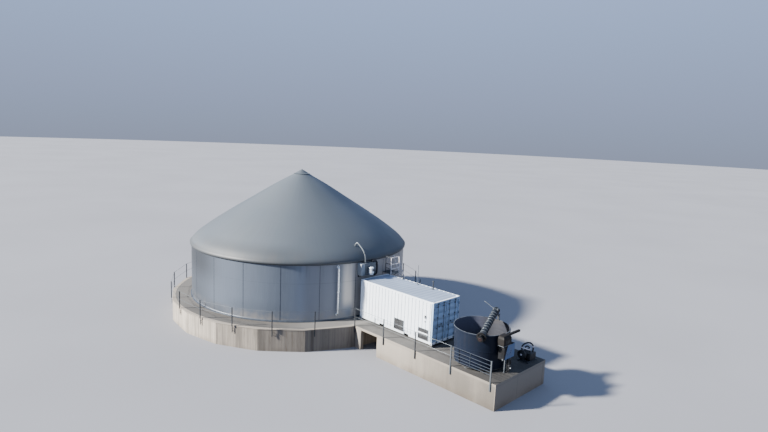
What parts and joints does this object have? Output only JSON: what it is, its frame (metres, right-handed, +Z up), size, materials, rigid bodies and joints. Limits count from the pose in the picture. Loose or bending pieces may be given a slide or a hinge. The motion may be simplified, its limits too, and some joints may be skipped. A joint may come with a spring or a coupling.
{
  "type": "biogas digester",
  "caption": "Round clad biogas digester with a membrane gas roof, raised ring walkway and a platform with technical container, solids feeder and auger.",
  "frame": {"origin": "on the tank's axis at the lowest ground, on the underside of the tank floor", "axes": "+Z up, +X along the platform away from the tank, +Y to the platform's rear edge"},
  "size_m": [29.4097, 18.9567, 10.78],
  "materials": {
    "cladding": "Semi-gloss coated sheet in smooth panels, dirt splashed on the lowest half metre",
    "membrane": "Coated gas membrane with welded gore seams, matt",
    "concrete": "Cast concrete with formwork joints and damp streaks",
    "galvanised": "Hot dip galvanised steel, dull",
    "stainless": "Stainless steel pipe",
    "container_paint": "White container paint with a little rust at the edges",
    "tub_paint": "Anthracite paint, worn bright at the rim",
    "drive_paint": "Brown grey drive housing and blue grey sheet",
    "dark_metal": "Dark painted steel",
    "hose_rubber": "Black rubber hose"
  },
  "bodies": {
    "plant": {"auger_bracket": "galvanised", "auger_motor": "dark_metal", "auger_tube": "galvanised", "container_door_frame": "container_paint", "container_end_wall": "container_paint", "container_floor": "container_paint", "container_front_wall": "container_paint", "container_louvre_1": "dark_metal", "container_louvre_2": "dark_metal", "container_rear_wall": "container_paint", "container_roof": "container_paint", "culvert_wall": "concrete", "deck_guard_rail": "galvanised", "deck_ladder": "galvanised", "feeder_base_ring": "tub_paint", "feeder_drive_unit": "drive_paint", "feeder_tub": "tub_paint", "feeder_tub_floor": "tub_paint", "gas_pipe": "galvanised", "inspection_deck": "galvanised", "platform_end_wall": "concrete", "platform_front_wall": "concrete", "platform_pillar": "concrete", "platform_railing": "galvanised", "platform_rear_wall": "concrete", "platform_slab": "concrete", "pump_unit": "dark_metal", "relief_valve_cabinet": "galvanised", "relief_valve_hose": "hose_rubber", "relief_valve_vessel": "container_paint", "ring_railing_1": "galvanised", "ring_railing_2": "galvanised", "ring_railing_3": "galvanised", "ring_railing_4": "galvanised", "ring_railing_5": "galvanised", "ring_walkway_1": "concrete", "ring_walkway_2": "concrete", "ring_walkway_3": "concrete", "ring_walkway_4": "concrete", "ring_walkway_5": "concrete", "ring_walkway_6": "concrete", "ring_walkway_7": "concrete", "ring_wall_under_platform": "concrete", "roof_clamp_rail": "dark_metal", "roof_mast": "galvanised", "roof_membrane": "membrane", "roof_vent_stub": "galvanised", "tank_floor": "concrete", "tank_side_pipe": "stainless", "tank_wall_1": "cladding", "tank_wall_2": "cladding", "tank_wall_3": "cladding", "tank_wall_4": "cladding", "tank_wall_5": "cladding", "tank_wall_6": "cladding", "tank_wall_7": "cladding", "tank_wall_8": "cladding", "tube_railing_panel": "galvanised"},
    "door_left": {"container_door_left": "container_paint"},
    "door_right": {"container_door_right": "container_paint"}
  },
  "joints": [
    {"name": "door_left_hinge", "type": "hinge", "parent": "plant", "child": "door_left", "pos_m": [14.775, -1.15, 2.9], "axis": [0, 0, -1], "range_deg": [0, 135]},
    {"name": "door_right_hinge", "type": "hinge", "parent": "plant", "child": "door_right", "pos_m": [14.775, 1.208, 2.9], "axis": [0, 0, 1], "range_deg": [0, 135]}
  ]
}
